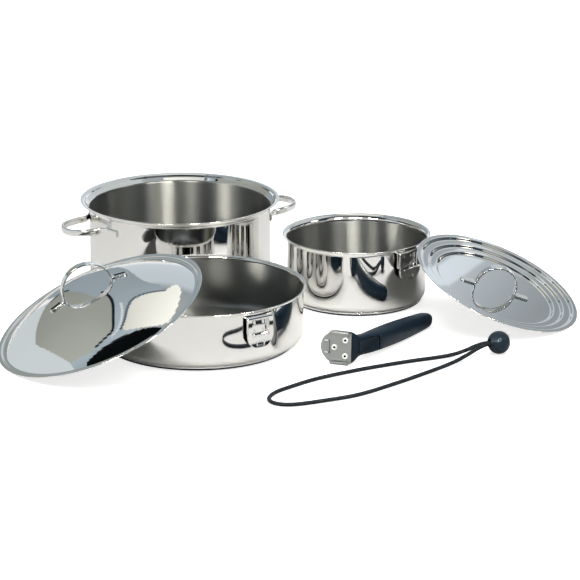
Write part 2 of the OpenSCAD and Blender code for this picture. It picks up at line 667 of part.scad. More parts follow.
// Return spring between the slide's end and the bottom of its bore
spring_sides = 6;
spring_rings = 8;
module latch_spring() color(satin) at_handle() on_ramp() {
    mid = (spring_d - spring_wire) / 2;
    count = ceil(spring_turns * spring_rings);
    run = spring_l - spring_wire - 2 * bond;
    path = [for (i = [0:count]) let (a = 360 * spring_turns * i / count)
        [mid * cos(a), slide_end + bond + spring_wire / 2 + run * i / count, spring_low + mid * sin(a)]];
    sweep(path, [for (i = [0:count]) rounded_oval(spring_wire, spring_wire, 2, spring_sides)], [0, 1, 0]);
    echo(spring_gap = run / spring_turns - spring_wire);
}

// Ball bungee: both ends of the loop go through the ball to one knot
ball_pos = [404, -322.5];
ball_turn = 19;
ball_back = ball_d / 2 - 3;
knot_h = knot_pocket - 1.5;
knot_face = ball_back - knot_pocket;
cord_sides = 10;
cord_steps = 3;
cord_route = [[407, -318.7, 14.2], [388, -325, 14.2], [376, -328.5, 12], [362, -332.5, 7],
    [346, -338, 3.5], [325, -347, 2.6], [287, -363.5, 2.6], [231, -393, 2.6], [181, -425.5, 2.6],
    [147, -457, 2.6], [129, -478, 2.6], [122, -500, 2.6], [130, -516.5, 2.6], [152, -520, 2.6],
    [190, -505, 2.6], [229, -484, 2.6],
    [275, -442, 2.6], [321, -394, 2.6], [345, -366, 2.6], [361, -350, 5.5], [376, -339, 11],
    [389.7, -330.2, 14.2], [408.6, -323.8, 14.2]];
module at_ball() translate([ball_pos[0], ball_pos[1], ball_d / 2])
    rotate(ball_turn) rotate([0, 90, 0]) children();
module bungee_cord() color(black) {
    path = smooth_curve(cord_route, cord_steps);
    sweep(path, [for (p = path) rounded_oval(cord_d, cord_d, 2, cord_sides)], [0, 0, 1]);
}
module bungee_ball() color(black) at_ball() difference() {
    sphere(d = ball_d);
    translate([0, 0, -ball_d]) cylinder(d = ball_hole_d, h = 2 * ball_d);
    translate([0, 0, ball_back]) cylinder(d = 2 * ball_d, h = ball_d);
    translate([0, 0, knot_face]) cylinder(d = knot_d + 2 * slip, h = ball_d);
}
module bungee_knot() color(black) at_ball() translate([0, 0, knot_face + bond])
    rotate_extrude() polygon(concat([[0, 0]],
        arc([knot_d / 2 - knot_h / 2, knot_h / 2], knot_h / 2, -90, 90, 12), [[0, knot_h]]));

stock_pot_shell();
stock_pot_core_disc();
stock_pot_base_cap();
stock_pot_handle_left();
stock_pot_handle_right();
saute_pan_shell();
saute_pan_core_disc();
saute_pan_base_cap();
saute_pan_bracket();
saucepan_shell();
saucepan_core_disc();
saucepan_base_cap();
saucepan_bracket();
lid_disc();
lid_handle();
universal_lid_disc();
universal_lid_handle();
handle_grip();
handle_head_plate();
handle_rivets();
thumb_slide();
latch_bar();
latch_spring();
bungee_cord();
bungee_ball();
bungee_knot();
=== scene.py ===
"""Camping cook pot set: smooth pressed steel, satin insides, handle and ball bungee around the CAD frame."""

import math

import bmesh
import bpy
from mathutils import Matrix, Vector


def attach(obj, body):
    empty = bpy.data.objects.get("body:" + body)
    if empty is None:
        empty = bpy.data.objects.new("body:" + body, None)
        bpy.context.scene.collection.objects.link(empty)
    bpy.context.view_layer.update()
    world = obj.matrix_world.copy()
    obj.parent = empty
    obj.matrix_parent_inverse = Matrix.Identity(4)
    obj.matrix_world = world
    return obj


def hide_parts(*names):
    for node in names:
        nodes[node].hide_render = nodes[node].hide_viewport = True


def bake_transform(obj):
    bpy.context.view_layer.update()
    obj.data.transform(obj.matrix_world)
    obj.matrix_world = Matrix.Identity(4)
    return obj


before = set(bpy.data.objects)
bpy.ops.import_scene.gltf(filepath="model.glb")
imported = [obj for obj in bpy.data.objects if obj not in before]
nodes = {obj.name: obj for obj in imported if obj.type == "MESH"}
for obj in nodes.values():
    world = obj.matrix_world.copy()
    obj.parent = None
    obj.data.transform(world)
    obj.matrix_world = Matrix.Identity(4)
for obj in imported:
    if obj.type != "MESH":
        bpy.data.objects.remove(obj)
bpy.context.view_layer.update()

MM = 0.001
HAIR = 0.05  # Millimetres between pieces that touch
SEGMENTS = 256  # Facets round the vessels and lids
scene = bpy.context.scene
scene.view_settings.view_transform = "Standard"

# Camera at the photograph's viewing angle
IMAGE_PX = 580
FOCAL_PX = 2800
SENSOR = 36
LOOK_DOWN = math.radians(16.97)
CAMERA_PLACE = (0.1467, -3.6023, 1.0825)
camera_data = bpy.data.cameras.new("camera")
camera_data.sensor_width = SENSOR
camera_data.lens = SENSOR * FOCAL_PX / IMAGE_PX
camera_data.clip_end = 60
camera = bpy.data.objects.new("camera", camera_data)
camera.location = CAMERA_PLACE
camera.rotation_euler = (math.pi / 2 - LOOK_DOWN, 0, 0)
scene.collection.objects.link(camera)
scene.camera = camera


# Paths and outlines, in millimetres
def arc(cx, cy, r, start, end, steps):
    angles = [math.radians(start + (end - start) * i / steps) for i in range(steps + 1)]
    return [(cx + r * math.cos(a), cy + r * math.sin(a)) for a in angles]


def offset_path(path, d):
    """The path moved to its left by d, with mitred corners. A point on the axis stays on it."""
    moved = []
    last = len(path) - 1
    for i, p in enumerate(path):
        j, k = max(i, 1), min(i, last - 1)
        a = (Vector(path[j]) - Vector(path[j - 1])).normalized()
        b = (Vector(path[k + 1]) - Vector(path[k])).normalized()
        left = Vector((-a.y, a.x))
        m = (left + Vector((-b.y, b.x))).normalized()
        if p[0] == 0:
            moved.append((0, p[1] + d))
        else:
            q = Vector(p) + m * (d / m.dot(left))
            moved.append((q.x, q.y))
    return moved


def filleted(points, radius, steps=6):
    """A polyline with its inner corners rounded."""
    out = [points[0]]
    for i in range(1, len(points) - 1):
        p, q, r = Vector(points[i - 1]), Vector(points[i]), Vector(points[i + 1])
        cut = min(radius, (p - q).length * 0.45, (r - q).length * 0.45)
        a, b = q + (p - q).normalized() * cut, q + (r - q).normalized() * cut
        for k in range(steps + 1):
            t = k / steps
            c = a * (1 - t) ** 2 + q * (2 * t * (1 - t)) + b * t * t
            out.append((c.x, c.y))
    out.append(points[-1])
    return out


def supported(path, longest=6.0, hold=0.5):
    """Long runs of a path get points close to their ends, so that smooth shading stays flat between them."""
    out = [path[0]]
    for p, q in zip(path, path[1:]):
        p, q = Vector(p), Vector(q)
        run = (q - p).length
        if run > 3 * hold:
            stops = [hold / run]
            count = max(1, math.ceil(run / longest))
            stops += [i / count for i in range(1, count)]
            stops.append(1 - hold / run)
            out += [tuple(p.lerp(q, s)) for s in stops]
        out.append(tuple(q))
    return out


def curve_through(points, steps):
    """A smooth curve through points of any dimension."""
    out = []
    last = len(points) - 1
    for i in range(last):
        a, b, c, d = (points[max(i - 1, 0)], points[i], points[i + 1], points[min(i + 2, last)])
        for k in range(steps):
            t = k / steps
            out.append(tuple(
                0.5 * (2 * q + (r - p) * t + (2 * p - 5 * q + 4 * r - s) * t * t
                       + (3 * q - p - 3 * r + s) * t ** 3)
                for p, q, r, s in zip(a, b, c, d)))
    out.append(tuple(points[last]))
    return out


def rounded_oval(w, h, power, n):
    def part(x):
        return math.copysign(abs(x) ** (2 / power), x)
    angles = [2 * math.pi * (k + 0.5) / n for k in range(n)]
    return [(w / 2 * part(math.cos(a)), h / 2 * part(math.sin(a))) for a in angles]


# Meshes
def finish_mesh(name, bm, materials, body, replaced, sharp=35):
    """A smooth-shaded piece in place of CAD nodes. One with no body is left unattached."""
    bmesh.ops.recalc_face_normals(bm, faces=bm.faces)
    mesh = bpy.data.meshes.new(name)
    bm.to_mesh(mesh)
    bm.free()
    for m in materials:
        mesh.materials.append(m)
    mesh.polygons.foreach_set("use_smooth", [True] * len(mesh.polygons))
    mesh.set_sharp_from_angle(angle=math.radians(sharp))
    obj = bpy.data.objects.new(name, mesh)
    scene.collection.objects.link(obj)
    if body:
        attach(obj, body)
    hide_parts(*replaced)
    return obj


def lathe_into(bm, outline, place, segments=SEGMENTS):
    """Spins a closed outline of (r, z, material) about Z. U runs round the axis and V along the outline."""
    uv = bm.loops.layers.uv.verify()
    rings = []
    for r, z, _ in outline:
        if abs(r) < 1e-6:
            rings.append([bm.verts.new(place @ Vector((0, 0, z * MM)))] * segments)
        else:
            rings.append([bm.verts.new(place @ Vector((r * MM * math.cos(a), r * MM * math.sin(a), z * MM)))
                          for a in (2 * math.pi * k / segments for k in range(segments))])
    along = [0.0]
    for p, q in zip(outline, outline[1:] + outline[:1]):
        along.append(along[-1] + math.hypot(q[0] - p[0], q[1] - p[1]) * MM)
    for i in range(len(outline)):
        a, b = rings[i], rings[(i + 1) % len(outline)]
        if a[0] is a[1] and b[0] is b[1]:
            continue
        for k in range(segments):
            j = (k + 1) % segments
            corners = [(a[k], k, i), (a[j], k + 1, i), (b[j], k + 1, i + 1), (b[k], k, i + 1)]
            seen = []
            for c in corners:
                if c[0] not in [s[0] for s in seen]:
                    seen.append(c)
            face = bm.faces.new([s[0] for s in seen])
            face.material_index = outline[i][2]
            for loop, s in zip(face.loops, seen):
                loop[uv].uv = (s[1] / segments, along[s[2]])


def sweep_into(bm, path, sections, up, place=Matrix.Identity(4), cap=True):
    """Sweeps one section per point along a path, both in millimetres. U runs round and V along."""
    uv = bm.loops.layers.uv.verify()
    last = len(path) - 1
    up = Vector(up)
    rings = []
    along = [0.0]
    for i, p in enumerate(path):
        t = (Vector(path[min(i + 1, last)]) - Vector(path[max(i - 1, 0)])).normalized()
        side = up.cross(t).normalized()
        rise = t.cross(side)
        rings.append([bm.verts.new(place @ ((Vector(p) + side * a + rise * b) * MM)) for a, b in sections[i]])
        if i:
            along.append(along[-1] + (Vector(p) - Vector(path[i - 1])).length * MM)
    n = len(sections[0])
    for i in range(last):
        for k in range(n):
            j = (k + 1) % n
            face = bm.faces.new([rings[i][k], rings[i][j], rings[i + 1][j], rings[i + 1][k]])
            for loop, c in zip(face.loops, ((k, i), (k + 1, i), (k + 1, i + 1), (k, i + 1))):
                loop[uv].uv = (c[0] / n, along[c[1]])
    if cap:
        for ring in (rings[0], rings[-1]):
            bm.faces.new(ring)
    return rings


def stack_into(bm, rings):
    """Skins rings of points that have equal counts, and closes both ends."""
    made = [[bm.verts.new(p) for p in ring] for ring in rings]
    n = len(rings[0])
    for a, b in zip(made, made[1:]):
        for k in range(n):
            j = (k + 1) % n
            bm.faces.new([a[k], a[j], b[j], b[k]])
    bm.faces.new(made[0])
    bm.faces.new(made[-1])


def paint(node, mat):
    """A CAD node that shows gets its material."""
    nodes[node].data.materials.clear()
    nodes[node].data.materials.append(mat)


# Materials
def new_material(name):
    mat = bpy.data.materials.new(name)
    mat.use_nodes = True
    tree = mat.node_tree
    return mat, tree, tree.nodes["Principled BSDF"]


def add(tree, kind, **values):
    node = tree.nodes.new("ShaderNode" + kind)
    for key, value in values.items():
        setattr(node, key, value)
    return node


def brushed_vector(tree, round_scale, along_scale):
    """A texture vector that is stretched round the lathe's axis and joins up with itself."""
    uv = add(tree, "UVMap")
    split = add(tree, "SeparateXYZ")
    tree.links.new(uv.outputs[0], split.inputs[0])
    turn = add(tree, "Math", operation="MULTIPLY")
    turn.inputs[1].default_value = 2 * math.pi
    tree.links.new(split.outputs[0], turn.inputs[0])
    join = add(tree, "CombineXYZ")
    for axis, operation in enumerate(("COSINE", "SINE")):
        wave = add(tree, "Math", operation=operation)
        tree.links.new(turn.outputs[0], wave.inputs[0])
        grow = add(tree, "Math", operation="MULTIPLY")
        grow.inputs[1].default_value = round_scale
        tree.links.new(wave.outputs[0], grow.inputs[0])
        tree.links.new(grow.outputs[0], join.inputs[axis])
    fine = add(tree, "Math", operation="MULTIPLY")
    fine.inputs[1].default_value = along_scale
    tree.links.new(split.outputs[1], fine.inputs[0])
    tree.links.new(fine.outputs[0], join.inputs[2])
    return join.outputs[0]


def noise(tree, vector, scale, detail=2.0, roughness=0.5):
    node = add(tree, "TexNoise")
    node.inputs["Scale"].default_value = scale
    node.inputs["Detail"].default_value = detail
    node.inputs["Roughness"].default_value = roughness
    tree.links.new(vector, node.inputs["Vector"])
    return node.outputs["Fac"]


def ranged(tree, value, low, high, start=0.0, stop=1.0):
    node = add(tree, "MapRange")
    for key, number in (("From Min", start), ("From Max", stop), ("To Min", low), ("To Max", high)):
        node.inputs[key].default_value = number
    tree.links.new(value, node.inputs["Value"])
    return node.outputs["Result"]


def object_vector(tree):
    return add(tree, "TexCoord").outputs["Object"]


def bump(tree, shader, height, strength, distance):
    node = add(tree, "Bump")
    node.inputs["Strength"].default_value = strength
    node.inputs["Distance"].default_value = distance
    tree.links.new(height, node.inputs["Height"])
    tree.links.new(node.outputs["Normal"], shader.inputs["Normal"])


def polished_steel(name, colour=(0.80, 0.795, 0.78), low=0.02, high=0.045):
    mat, tree, shader = new_material(name)
    shader.inputs["Base Color"].default_value = (*colour, 1)
    shader.inputs["Metallic"].default_value = 1
    smudge = noise(tree, object_vector(tree), 14, 3)
    tree.links.new(ranged(tree, smudge, low, high, 0.3, 0.7), shader.inputs["Roughness"])
    bump(tree, shader, noise(tree, object_vector(tree), 9, 0), 0.03, 0.004)
    return mat


def satin_steel(name, colour=(0.305, 0.312, 0.31), rough=0.31, aniso=0.93):
    mat, tree, shader = new_material(name)
    shader.inputs["Metallic"].default_value = 1
    shader.inputs["Anisotropic"].default_value = aniso
    shader.inputs["Anisotropic Rotation"].default_value = 0.25
    tangent = add(tree, "Tangent", direction_type="UV_MAP")
    tree.links.new(tangent.outputs[0], shader.inputs["Tangent"])
    lines = noise(tree, brushed_vector(tree, 1.2, 2600), 1, 2)
    tree.links.new(ranged(tree, lines, rough - 0.012, rough + 0.012, 0.3, 0.7), shader.inputs["Roughness"])
    tint = add(tree, "Mix", data_type="RGBA")
    tint.inputs["A"].default_value = (*(c * 0.97 for c in colour), 1)
    tint.inputs["B"].default_value = (*(c * 1.03 for c in colour), 1)
    tree.links.new(ranged(tree, lines, 0, 1, 0.35, 0.65), tint.inputs["Factor"])
    tree.links.new(tint.outputs["Result"], shader.inputs["Base Color"])
    return mat


def plain_metal(name, colour, low, high, scale):
    mat, tree, shader = new_material(name)
    shader.inputs["Base Color"].default_value = (*colour, 1)
    shader.inputs["Metallic"].default_value = 1
    grain = noise(tree, object_vector(tree), scale, 3)
    tree.links.new(ranged(tree, grain, low, high, 0.3, 0.7), shader.inputs["Roughness"])
    bump(tree, shader, grain, 0.06, 0.0004)
    return mat


def moulded(name, dark, light, rough, scale, depth):
    mat, tree, shader = new_material(name)
    shader.inputs["Specular IOR Level"].default_value = 0.2
    shader.inputs["Specular Tint"].default_value = (0.66, 0.86, 1.0, 1)
    grain = noise(tree, object_vector(tree), scale, 3, 0.6)
    patch = noise(tree, object_vector(tree), 40, 2)
    tint = add(tree, "Mix", data_type="RGBA")
    tint.inputs["A"].default_value = (*dark, 1)
    tint.inputs["B"].default_value = (*light, 1)
    tree.links.new(ranged(tree, patch, 0, 1, 0.3, 0.7), tint.inputs["Factor"])
    tree.links.new(tint.outputs["Result"], shader.inputs["Base Color"])
    tree.links.new(ranged(tree, grain, rough - 0.07, rough + 0.07, 0.3, 0.7), shader.inputs["Roughness"])
    bump(tree, shader, grain, 0.25, depth)
    return mat


def cord_fabric(name):
    mat, tree, shader = new_material(name)
    fibre = noise(tree, object_vector(tree), 1800, 2)
    tint = add(tree, "Mix", data_type="RGBA")
    tint.inputs["A"].default_value = (0.003, 0.007, 0.011, 1)
    tint.inputs["B"].default_value = (0.008, 0.015, 0.021, 1)
    tree.links.new(ranged(tree, fibre, 0, 1, 0.3, 0.7), tint.inputs["Factor"])
    tree.links.new(tint.outputs["Result"], shader.inputs["Base Color"])
    shader.inputs["Roughness"].default_value = 0.75
    shader.inputs["Specular IOR Level"].default_value = 0.2
    shader.inputs["Sheen Weight"].default_value = 0.06
    shader.inputs["Sheen Tint"].default_value = (0.6, 0.7, 0.85, 1)
    bump(tree, shader, fibre, 0.3, 0.0002)
    return mat


polish = polished_steel("polished_steel")
satin = satin_steel("satin_steel")
aluminium = plain_metal("base_aluminium", (0.75, 0.75, 0.76), 0.3, 0.45, 300)
plate_steel = plain_metal("head_plate_steel", (0.295, 0.31, 0.308), 0.3, 0.5, 900)
rivet_steel = plain_metal("rivet_steel", (0.86, 0.86, 0.85), 0.3, 0.4, 500)
# Painted contact shade: near-black navy steel on the base cap's lower round and underside, standing in for
# the mirrored shadow where the pot meets the floor
contact_shade_painted = plain_metal("cap_foot_painted_shade", (0.035, 0.045, 0.065), 0.3, 0.4, 300)
# Painted dark reflection: darker steel for the lid straps' side faces
dark_edge_painted = plain_metal("strap_side_painted_reflection", (0.13, 0.15, 0.17), 0.2, 0.3, 400)
# Painted shade: near-black steel inside the rivet hollows and in the dome strap's groove
hollow_shade_painted = plain_metal("hollow_painted_shade", (0.02, 0.02, 0.022), 0.5, 0.7, 500)
grip_black = moulded("grip_plastic", (0.003, 0.011, 0.023), (0.005, 0.015, 0.029), 0.40, 2600, 0.0001)
slide_black = moulded("slide_plastic", (0.003, 0.009, 0.017), (0.005, 0.013, 0.023), 0.36, 2600, 0.0001)
ball_black = moulded("ball_rubber", (0.016, 0.026, 0.038), (0.024, 0.036, 0.050), 0.34, 1600, 0.0001)
cord_black = cord_fabric("cord_fabric")

# Ball bungee, in millimetres: the cord leaves the ball, lies in one loop on the floor and goes back in
CORD_D = 5.0
CORD_ROUTE = [
    (407, -318.7, 14.2), (388, -325, 14.2), (376, -328.5, 12), (362, -332.5, 7), (346, -338, 3.5),
    (325, -347, 2.6), (287, -363.5, 2.6), (231, -393, 2.6), (181, -425.5, 2.6), (147, -457, 2.6),
    (129, -478, 2.6), (122, -500, 2.6), (130, -516.5, 2.6), (152, -520, 2.6), (190, -505, 2.6),
    (229, -484, 2.6), (275, -442, 2.6), (321, -394, 2.6), (345, -366, 2.6), (361, -350, 5.5),
    (376, -339, 11), (389.7, -330.2, 14.2), (408.6, -323.8, 14.2),
]


def bungee_cord():
    """A tube whose surface carries the braid's crossing strands."""
    coarse = [Vector(p) for p in curve_through(CORD_ROUTE, 24)]
    reach = [0.0]
    for p, q in zip(coarse, coarse[1:]):
        reach.append(reach[-1] + (q - p).length)
    step = 0.7
    count = int(reach[-1] / step)
    path, i = [], 0
    for k in range(count + 1):
        s = reach[-1] * k / count
        while i < len(reach) - 2 and reach[i + 1] < s:
            i += 1
        path.append(coarse[i].lerp(coarse[i + 1], (s - reach[i]) / (reach[i + 1] - reach[i])))
    sides, strands, pitch, relief = 24, 6, 9.0, 0.16
    sections = []
    for k in range(count + 1):
        s = reach[-1] * k / count
        ring = []
        for j in range(sides):
            a = 2 * math.pi * j / sides
            over = math.cos(strands * a + 2 * math.pi * s * strands / pitch)
            under = math.cos(strands * a - 2 * math.pi * s * strands / pitch)
            r = CORD_D / 2 - relief * (1 - max(over, under)) / 2
            ring.append((r * math.cos(a), r * math.sin(a)))
        sections.append(ring)
    bm = bmesh.new()
    sweep_into(bm, path, sections, (0, 0, 1))
    obj = finish_mesh("bungee_cord_braid", bm, [cord_black], "bungee", ["bungee_cord"], 80)


bungee_cord()

BALL_D = 28.5
BALL_BACK = BALL_D / 2 - 3  # Level of the ball's flat back
BALL_POCKET = 7.0  # Depth of the pocket for the knot
ball_place = (Matrix.Translation(Vector((404, -322.5, BALL_D / 2)) * MM)
              @ Matrix.Rotation(math.radians(19), 4, "Z") @ Matrix.Rotation(math.pi / 2, 4, "Y"))


def bungee_ball():
    r, hole, back, pocket_r, pocket = BALL_D / 2, 5.7, BALL_BACK, 7.9, BALL_POCKET
    front = -math.sqrt(r * r - hole * hole)
    start = math.degrees(math.atan2(front, hole))
    stop = math.degrees(math.asin(back / r))
    skin = [(hole, back - pocket), (hole, front + 0.4)]
    skin += arc(0, 0, r, start + 3, stop - 2, 48)
    skin += [(r * math.cos(math.radians(stop)) - 0.8, back), (pocket_r + 0.5, back),
             (pocket_r, back - 0.5), (pocket_r, back - pocket)]
    bm = bmesh.new()
    lathe_into(bm, [(a, b, 0) for a, b in skin], ball_place, 96)
    finish_mesh("ball", bm, [ball_black], "bungee", ["bungee_ball"], 50)


def bungee_knot():
    """The cord's ends tied in one flat overhand knot."""
    height, base = 5.5, BALL_BACK - BALL_POCKET + HAIR
    loop_r, loop_swing, weave = 3.9, 1.1, 0.75
    count, sides = 120, 16
    path, sections = [], []
    for i in range(count):
        t = 2 * math.pi * i / count
        r = loop_r + loop_swing * math.cos(3 * t)
        z = base + height / 2 + weave * math.sin(3 * t)
        path.append(Vector((r * math.cos(2 * t), r * math.sin(2 * t), z)))
        sections.append(rounded_oval(3.9, 3.7, 2, sides))
    bm = bmesh.new()
    rings = sweep_into(bm, path, sections, (0, 0, 1), place=ball_place, cap=False)
    for k in range(sides):
        j = (k + 1) % sides
        bm.faces.new([rings[-1][k], rings[-1][j], rings[0][j], rings[0][k]])
    finish_mesh("bungee_knot_tied", bm, [cord_black], "bungee", ["bungee_knot"], 80)


bungee_ball()
bungee_knot()

# Vessels: pressed shell and base cap
SHEET = 1.0
FLOOR_Z = 4.8
# CAP_SHADE_TOP is the height below which the base cap carries the painted contact shade
CAP_T, CAP_ROUND, CAP_TOP, CAP_SHADE_TOP = 0.8, 3.0, 4.4, 2.7


def sheet_outline(path, thickness, front, back, back_from=None):
    """Closed outline of a bent sheet with a rounded edge. The back is satin up to a height, or all of it."""
    inner = offset_path(path, thickness)
    p, q = Vector(path[-1]), Vector(inner[-1])
    mid, half = (p + q) / 2, (q - p) / 2
    turn = Vector((half.y, -half.x))
    if turn.dot(Vector(path[-1]) - Vector(path[-2])) < 0:
        turn = -turn
    edge = [mid - half * math.cos(a) + turn * math.sin(a) * 0.8
            for a in (math.pi * k / 6 for k in range(1, 6))]
    out = [(r, z, front) for r, z in path]
    out += [(e.x, e.y, front) for e in edge]
    for r, z in reversed(inner):
        out.append((r, z, back if back_from is None or z <= back_from else front))
    return out


def vessel(name, spot, r, corner, rim, cap_r, satin_top):
    place = Matrix.Translation(Vector((*spot, 0)) * MM)
    path = [(0, FLOOR_Z)] + arc(r - corner, FLOOR_Z + corner, corner, -90, 0, 24) + rim
    bm = bmesh.new()
    lathe_into(bm, sheet_outline(supported(path), SHEET, 0, 1, satin_top), place)
    finish_mesh(name + "_pressed_shell", bm, [polish, satin], name, [name + "_shell"])
    cap = [(0, 0)] + arc(cap_r - CAP_ROUND, CAP_ROUND, CAP_ROUND, -90, 0, 12) + [(cap_r, CAP_TOP)]
    bm = bmesh.new()
    outline = sheet_outline(supported(cap), CAP_T, 0, 0)
    # The cap below CAP_SHADE_TOP gets the painted contact shade
    lathe_into(bm, [(a, z, 1 if z < CAP_SHADE_TOP else m) for a, z, m in outline], place)
    finish_mesh(name + "_steel_cap", bm, [polish, contact_shade_painted], name, [name + "_base_cap"])
    paint(name + "_core_disc", aluminium)


def flared(r, h, lip):
    return arc(r + lip, h - SHEET - lip, lip, 180, 100, 14)


STOCK_R, SAUTE_R, SAUCE_R = 120.5, 130, 90.5
STOCK_POS = (0, 0)
SAUTE_POS = (33.4775, -272.652)
SAUCE_POS = (233.534, -86.387)
stock_rim = filleted([
    (STOCK_R, 99), (STOCK_R, 103), (126, 107.2), (127.4, 109.6), (128.7, 110.5), (132, 111),
], 1.4)
saute_rim = flared(SAUTE_R, 74, 3.2)
sauce_rim = flared(SAUCE_R, 88, 7)
vessel("stock_pot", STOCK_POS, STOCK_R, corner=10, rim=stock_rim, cap_r=112, satin_top=103.5)
vessel("saute_pan", SAUTE_POS, SAUTE_R, corner=12, rim=saute_rim, cap_r=119, satin_top=69.6)
vessel("saucepan", SAUCE_POS, SAUCE_R, corner=8, rim=sauce_rim, cap_r=86, satin_top=80)


# Side handles of the stock pot
def side_handle(name, turn, pitch):
    reach, width, high, thick, foot_t, foot_l, level = 41, 62, 9, 4.6, 2.4, 22, 87
    foot_r = STOCK_R + HAIR + foot_t / 2
    half = width / 2
    start = math.degrees(math.asin((half + thick) / foot_r))
    end = start + math.degrees(foot_l / foot_r)
    arm = [(STOCK_R + reach, 0), (STOCK_R + reach * 0.97, half * 0.34), (STOCK_R + reach * 0.84, half * 0.66),
           (STOCK_R + reach * 0.6, half * 0.88), (STOCK_R + reach * 0.27, half),
           (foot_r * math.cos(math.radians(start)) + thick * 1.3, half + thick * 0.25)]
    foot = [(foot_r * math.cos(math.radians(a)), foot_r * math.sin(math.radians(a)))
            for a in (start + 3, (start + end) / 2 + 2, end)]
    side = arm + foot
    flat = [(x, -y) for x, y in reversed(side)] + side[1:]
    steps = 14
    rise = math.tan(math.radians(pitch))
    bent = curve_through(flat, steps)
    last = len(bent) - 1
    path, sections = [], []
    for i, (x, y) in enumerate(bent):
        u = min(1, max(0, min(i, last - i) / (2 * steps) - 1))
        t = foot_t + (thick - foot_t) * u * u * (3 - 2 * u)
        clear = max(1, (STOCK_R + HAIR + t / 2) / math.hypot(x, y))
        path.append((x * clear, y * clear, level + max(0, x - STOCK_R) * rise))
        sections.append(rounded_oval(t, high, 3, 32))
    bm = bmesh.new()
    sweep_into(bm, path, sections, (0, 0, 1), place=Matrix.Rotation(math.radians(turn), 4, "Z"))
    finish_mesh(name + "_loop", bm, [polish], "stock_pot", [name], 50)


side_handle("stock_pot_handle_left", turn=202, pitch=-4)
side_handle("stock_pot_handle_right", turn=22, pitch=5)


# Lids
def tilted(x, y, z, turn, tilt):
    return (Matrix.Translation(Vector((x, y, z)) * MM) @ Matrix.Rotation(math.radians(turn), 4, "Z")
            @ Matrix.Rotation(math.radians(tilt), 4, "Y"))


def strap(name, body, place, turn, level, length, span, rise, slope, groove_mat):
    width, thick, bend, edge = 10.0, 2.0, 4.0, 0.55
    groove, groove_deep = 2.7, 0.8
    half = span / 2
    mid = (length / 2 + half + bend) / 2
    fall = math.tan(math.radians(slope))
    bend_z = fall * (mid - half - bend)
    left = [(-length / 2, -fall * (length / 2 - mid))]
    left += arc(-half - bend, bend_z + bend, bend, -90, 0, 10)
    arch = [(-half * math.cos(a), bend_z + bend + (rise - bend) * math.sin(a))
            for a in (math.pi * k / 60 for k in range(1, 60))]
    line = supported(left + arch + [(-x, z) for x, z in reversed(left)], 1.2, 0.3)
    middle = offset_path(line, thick / 2)
    path, sections = [], []
    for x, z in middle:
        over = max(0, abs(x) - (length / 2 - width / 2))
        w = 2 * math.sqrt(max(0.02, (width / 2) ** 2 - over ** 2))
        e = min(edge, w * 0.4)
        a, b = w / 2 - e, thick / 2 - edge
        ring = []
        for cx, cz, start in ((a, b, 0), (-a, b, 90), (-a, -b, 180), (a, -b, 270)):
            if start == 270:
                inner = min(abs(x) - (half + bend + 1.5), length / 2 - 2.4 - abs(x))
                short = groove - min(groove, max(0, inner))
                reach = math.sqrt(groove ** 2 - short ** 2)
                for k in range(9):
                    v = k / 4 - 1
                    dip = groove_deep * max(0, 1 - (v * groove / reach) ** 2) ** 0.5 if reach > 0.01 else 0
                    ring.append((dip - thick / 2, v * min(groove, a * 0.9)))
            for k in range(4):
                t = math.radians(start + 30 * k)
                ring.append((cz + edge * math.sin(t), cx + e * math.cos(t)))
        path.append((x, 0, z))
        sections.append(ring)
    lifted = Matrix.Translation((0, 0, (level + HAIR) * MM))
    spot = place @ Matrix.Rotation(math.radians(turn), 4, "Z") @ lifted
    bm = bmesh.new()
    sweep_into(bm, path, sections, (0, 1, 0), place=spot)
    bm.normal_update()
    flat = spot.to_3x3().inverted()
    count = len(sections[0])
    for i, face in enumerate(bm.faces):
        dips = [p[0] + thick / 2 for p in sections[min(i // count, len(sections) - 1)][12:21]]
        # Side faces facing across the strap get the painted dark reflection
        if abs((flat @ face.normal).y) > 0.75:
            face.material_index = 1
        elif 12 <= i % count < 20 and max(dips) > groove_deep / 2 and i < count * (len(path) - 1):
            # The groove takes groove_mat, which is painted shade on the dome lid's strap
            face.material_index = 2
    finish_mesh(name + "_strap", bm, [polish, dark_edge_painted, groove_mat], body, [name], 50)


lid_place = tilted(-86.98, -330.11, 53.47, turn=205.5, tilt=23)
DOME_CURVE, DOME_R, LID_R, LID_RISE = 215.313, 125.0, 134.5, 38.0
dome_half = math.degrees(math.asin(DOME_R / DOME_CURVE))
lid_line = arc(0, LID_RISE - DOME_CURVE, DOME_CURVE, 90, 90 - dome_half, 44)
lid_line[0] = (0, LID_RISE)
lid_line += filleted([lid_line.pop(), (126.2, -2), (128.4, -2), (130.3, 0), (LID_R, 0)], 1.0)
bm = bmesh.new()
lathe_into(bm, sheet_outline(supported(lid_line, 4), -SHEET, 0, 1), lid_place)
finish_mesh("lid_dome", bm, [polish, satin], "lid", ["lid_disc"])
# The dome strap's groove is painted with shade
strap("lid_handle", "lid", lid_place, turn=-8, level=33.56, length=106, span=61, rise=33, slope=11.7,
      groove_mat=hollow_shade_painted)

